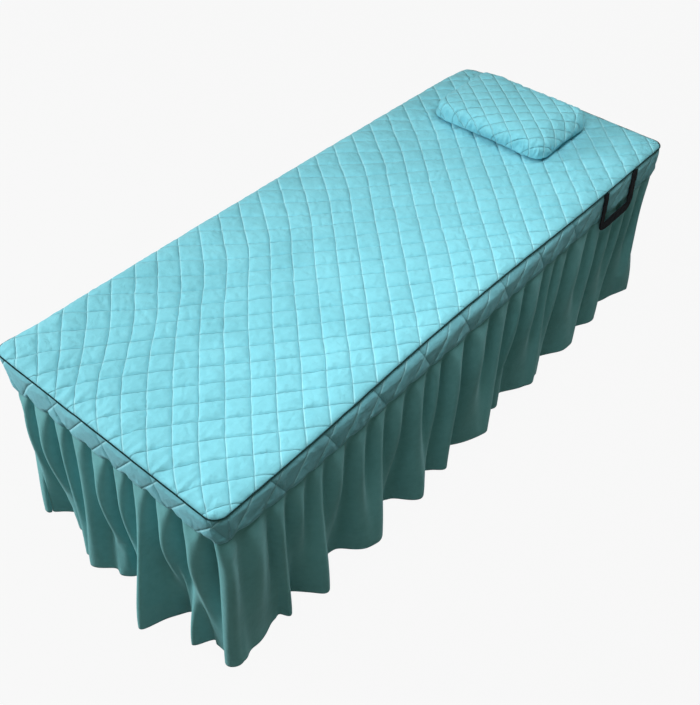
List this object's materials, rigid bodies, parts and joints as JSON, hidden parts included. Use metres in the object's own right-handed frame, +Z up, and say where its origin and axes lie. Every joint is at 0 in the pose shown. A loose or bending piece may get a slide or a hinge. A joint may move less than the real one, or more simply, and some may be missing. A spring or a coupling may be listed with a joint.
{
  "type": "massage bed with skirted cover",
  "caption": "Flat massage bed in a quilted cover with a gathered floor-length skirt, a side strap and a quilted pillow, over a steel frame on levelling feet.",
  "frame": {"origin": "on the floor under the middle of the bed", "axes": "+X towards the head (pillow) end, +Y towards the side without the strap, +Z up"},
  "size_m": [1.969, 0.825, 0.6683],
  "materials": {
    "quilted_cloth": "soft brushed polyester, diamond quilted",
    "skirt_cloth": "soft brushed polyester, gathered",
    "piping_cord": "matt corded piping",
    "webbing": "woven black webbing",
    "fibre_filling": "white hollow fibre",
    "foam": "open-cell foam",
    "cream_vinyl": "embossed vinyl",
    "plywood": "raw plywood",
    "frame_steel": "white powder coat",
    "zinc_steel": "zinc plated",
    "black_plastic": "moulded black plastic"
  },
  "bodies": {
    "bed_frame": {"plywood_deck": "plywood", "foam_pad": "foam", "vinyl_upholstery": "cream_vinyl", "end_rail_foot": "frame_steel", "end_rail_head": "frame_steel", "deck_tabs": "frame_steel", "deck_screws": "zinc_steel", "rail_caps": "black_plastic", "leg_bolts": "zinc_steel", "weld_nuts": "zinc_steel", "stretcher_bolts": "zinc_steel", "foot_inserts": "black_plastic", "side_rail_right": "frame_steel", "side_rail_left": "frame_steel", "cross_rail_foot": "frame_steel", "cross_rail_middle": "frame_steel", "cross_rail_head": "frame_steel", "end_stretcher_foot": "frame_steel", "end_stretcher_middle": "frame_steel", "end_stretcher_head": "frame_steel", "side_stretcher_foot_right": "frame_steel", "side_stretcher_foot_left": "frame_steel", "side_stretcher_head_right": "frame_steel", "side_stretcher_head_left": "frame_steel", "leg_foot_right": "frame_steel", "leg_foot_left": "frame_steel", "leg_middle_right": "frame_steel", "leg_middle_left": "frame_steel", "leg_head_right": "frame_steel", "leg_head_left": "frame_steel"},
    "cover": {"cover_top": "quilted_cloth", "piping": "piping_cord", "band_right": "quilted_cloth", "band_left": "quilted_cloth", "band_foot": "quilted_cloth", "band_head": "quilted_cloth", "skirt_right": "skirt_cloth", "skirt_left": "skirt_cloth", "skirt_foot": "skirt_cloth", "skirt_head": "skirt_cloth", "strap_tabs": "webbing"},
    "strap": {"side_strap": "webbing"},
    "pillow": {"pillowcase": "quilted_cloth", "pillow_filling": "fibre_filling"},
    "foot_foot_right": {"foot_pad_foot_right": "black_plastic", "foot_stud_foot_right": "zinc_steel"},
    "foot_foot_left": {"foot_pad_foot_left": "black_plastic", "foot_stud_foot_left": "zinc_steel"},
    "foot_middle_right": {"foot_pad_middle_right": "black_plastic", "foot_stud_middle_right": "zinc_steel"},
    "foot_middle_left": {"foot_pad_middle_left": "black_plastic", "foot_stud_middle_left": "zinc_steel"},
    "foot_head_right": {"foot_pad_head_right": "black_plastic", "foot_stud_head_right": "zinc_steel"},
    "foot_head_left": {"foot_pad_head_left": "black_plastic", "foot_stud_head_left": "zinc_steel"}
  },
  "joints": [
    {"name": "cover_lift", "type": "slide", "parent": "bed_frame", "child": "cover", "axis": [0, 0, 1], "range_m": [0, 0.62]},
    {"name": "pillow_lift", "type": "slide", "parent": "cover", "child": "pillow", "axis": [0, 0, 1], "range_m": [0, 0.3]},
    {"name": "strap_swing", "type": "hinge", "parent": "cover", "child": "strap", "pos_m": [0.665, -0.3583, 0.588], "axis": [-1, 0, 0], "range_deg": [0, 165]},
    {"name": "level_foot_right", "type": "slide", "parent": "bed_frame", "child": "foot_foot_right", "axis": [0, 0, -1], "range_m": [0, 0.02]},
    {"name": "level_foot_left", "type": "slide", "parent": "bed_frame", "child": "foot_foot_left", "axis": [0, 0, -1], "range_m": [0, 0.02]},
    {"name": "level_middle_right", "type": "slide", "parent": "bed_frame", "child": "foot_middle_right", "axis": [0, 0, -1], "range_m": [0, 0.02]},
    {"name": "level_middle_left", "type": "slide", "parent": "bed_frame", "child": "foot_middle_left", "axis": [0, 0, -1], "range_m": [0, 0.02]},
    {"name": "level_head_right", "type": "slide", "parent": "bed_frame", "child": "foot_head_right", "axis": [0, 0, -1], "range_m": [0, 0.02]},
    {"name": "level_head_left", "type": "slide", "parent": "bed_frame", "child": "foot_head_left", "axis": [0, 0, -1], "range_m": [0, 0.02]}
  ]
}
